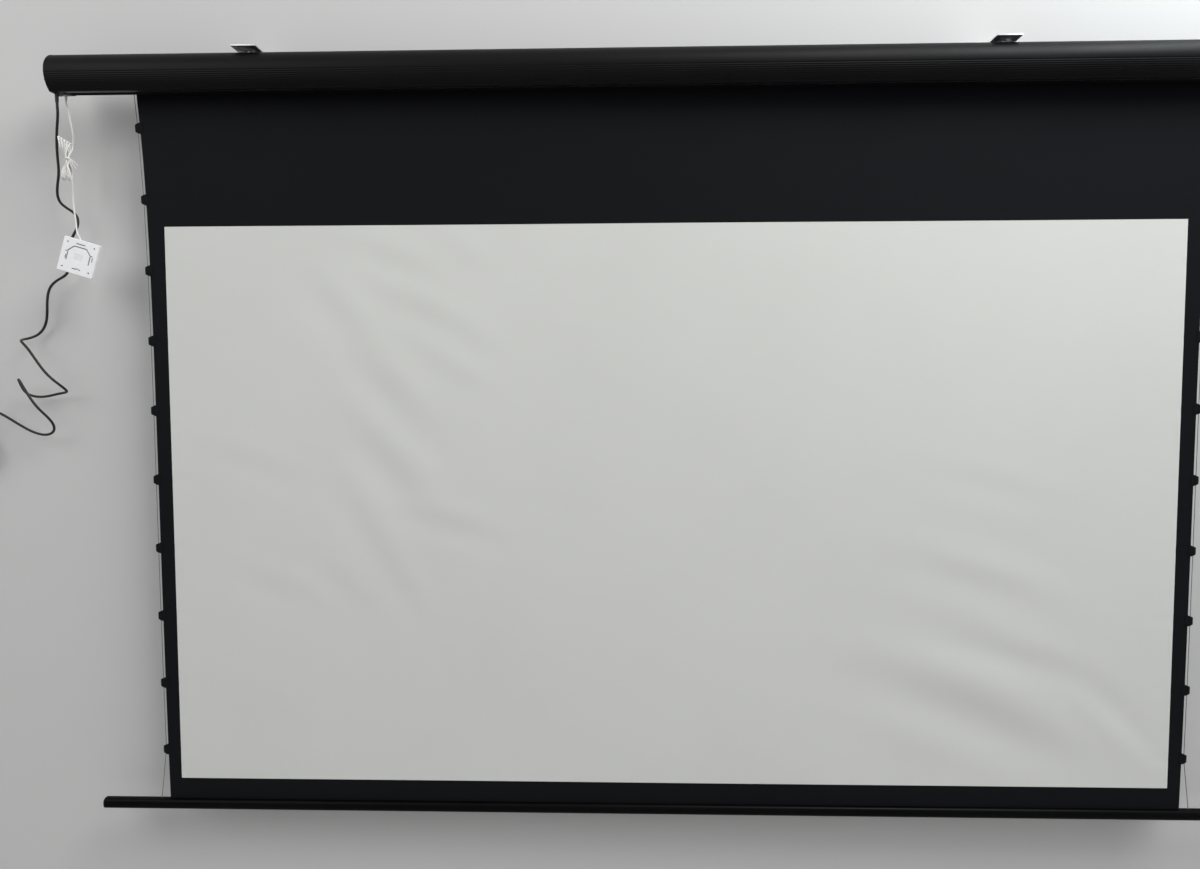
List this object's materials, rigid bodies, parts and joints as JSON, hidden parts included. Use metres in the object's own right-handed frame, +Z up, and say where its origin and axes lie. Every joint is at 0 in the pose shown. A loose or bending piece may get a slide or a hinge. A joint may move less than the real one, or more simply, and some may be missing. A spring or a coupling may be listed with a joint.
{
  "type": "motorized projector screen",
  "caption": "Wall-hung motorized projector screen, lowered: black tubular casing on two brackets, white view area in black tensioned cloth, bottom bar, cords and wall control.",
  "frame": {"origin": "on the wall plane, 55 mm above the roller's axis, at the middle of the casing's length", "axes": "+X along the casing, to the right as seen from the viewer, +Y into the wall, +Z up"},
  "size_m": [3.1474, 0.1488, 1.7958],
  "materials": {
    "black_powder_coat": "black matte powder coat on aluminium",
    "black_plastic": "moulded, matte",
    "black_cloth": "matte laminated cloth",
    "white_screen": "matte projection surface",
    "white_plastic": "satin moulded plastic",
    "grey_plastic": "moulded, matte",
    "white_cord": "smooth soft sheath",
    "black_cord": "smooth soft sheath",
    "tension_cord": "thin braided cord",
    "aluminium": "mill finish",
    "zinc_steel": "zinc plated",
    "circuit_board": "solder mask"
  },
  "bodies": {
    "casing": {"casing_shell": "black_powder_coat", "bottom_cover": "black_powder_coat", "end_cap_left": "black_plastic", "end_cap_right": "black_plastic", "cap_screw_left_upper": "zinc_steel", "cap_screw_left_lower": "zinc_steel", "cap_screw_right_upper": "zinc_steel", "cap_screw_right_lower": "zinc_steel", "motor_bracket": "zinc_steel", "idler_bracket": "zinc_steel", "motor_head": "black_plastic", "motor_tube": "aluminium", "motor_lead": "black_cord", "idler_pin": "zinc_steel", "control_box": "black_plastic", "circuit_board": "circuit_board", "signal_jack": "grey_plastic", "wall_bracket_left": "zinc_steel", "wall_bracket_right": "zinc_steel", "hanger_bolt_left": "zinc_steel", "hanger_bolt_right": "zinc_steel", "hanger_nut_left": "zinc_steel", "hanger_nut_right": "zinc_steel", "cord_strain_relief": "black_plastic", "power_cord": "black_cord", "power_coil": "black_cord", "coil_tie": "black_plastic", "power_plug": "black_plastic", "plug_pin_left": "zinc_steel", "plug_pin_right": "zinc_steel", "signal_plug": "grey_plastic", "signal_cord_upper": "white_cord", "signal_hank": "white_cord", "hank_tie": "white_plastic", "signal_cord_lower": "white_cord", "control_plate": "white_plastic", "control_cover": "white_plastic", "control_board": "circuit_board", "screen_fabric": "black_cloth", "viewing_surface": "white_screen", "edge_tabs_left": "black_cloth", "edge_tabs_right": "black_cloth", "tension_cord_left": "tension_cord", "tension_cord_right": "tension_cord"},
    "roller": {"roller_tube": "aluminium", "limit_crown": "black_plastic", "motor_shaft": "zinc_steel", "drive_wheel": "black_plastic", "idler_plug": "black_plastic", "idler_bearing": "zinc_steel", "wound_fabric": "black_cloth"},
    "bar": {"bottom_bar": "black_powder_coat", "bar_cap_left": "black_plastic", "bar_cap_right": "black_plastic", "hem_rod": "aluminium", "cord_anchor_left": "black_plastic", "cord_anchor_right": "black_plastic"},
    "button_up": {"button_up": "white_plastic"},
    "button_stop": {"button_stop": "white_plastic"},
    "button_down": {"button_down": "white_plastic"}
  },
  "joints": [
    {"name": "screen_travel", "type": "slide", "parent": "casing", "child": "bar", "axis": [0, 0, 1], "range_m": [0, 1.6828], "deforming": ["screen_fabric", "viewing_surface", "edge_tabs_left", "edge_tabs_right", "tension_cord_left", "tension_cord_right"]},
    {"name": "roller_spin", "type": "hinge", "parent": "casing", "child": "roller", "pos_m": [0, -0.10435, -0.055], "axis": [1, 0, 0], "range_deg": [0, 3960]},
    {"name": "button_up_press", "type": "slide", "parent": "casing", "child": "button_up", "axis": [0, -1, 0], "range_m": [0, 0.001], "stiffness_N_per_m": 300, "springref_m": -0.001},
    {"name": "button_stop_press", "type": "slide", "parent": "casing", "child": "button_stop", "axis": [0, -1, 0], "range_m": [0, 0.001], "stiffness_N_per_m": 300, "springref_m": -0.001},
    {"name": "button_down_press", "type": "slide", "parent": "casing", "child": "button_down", "axis": [0, -1, 0], "range_m": [0, 0.001], "stiffness_N_per_m": 300, "springref_m": -0.001}
  ],
  "couplings": [
    {"joint": "roller_spin", "follows": "screen_travel", "rad_per_m": 41.068}
  ]
}
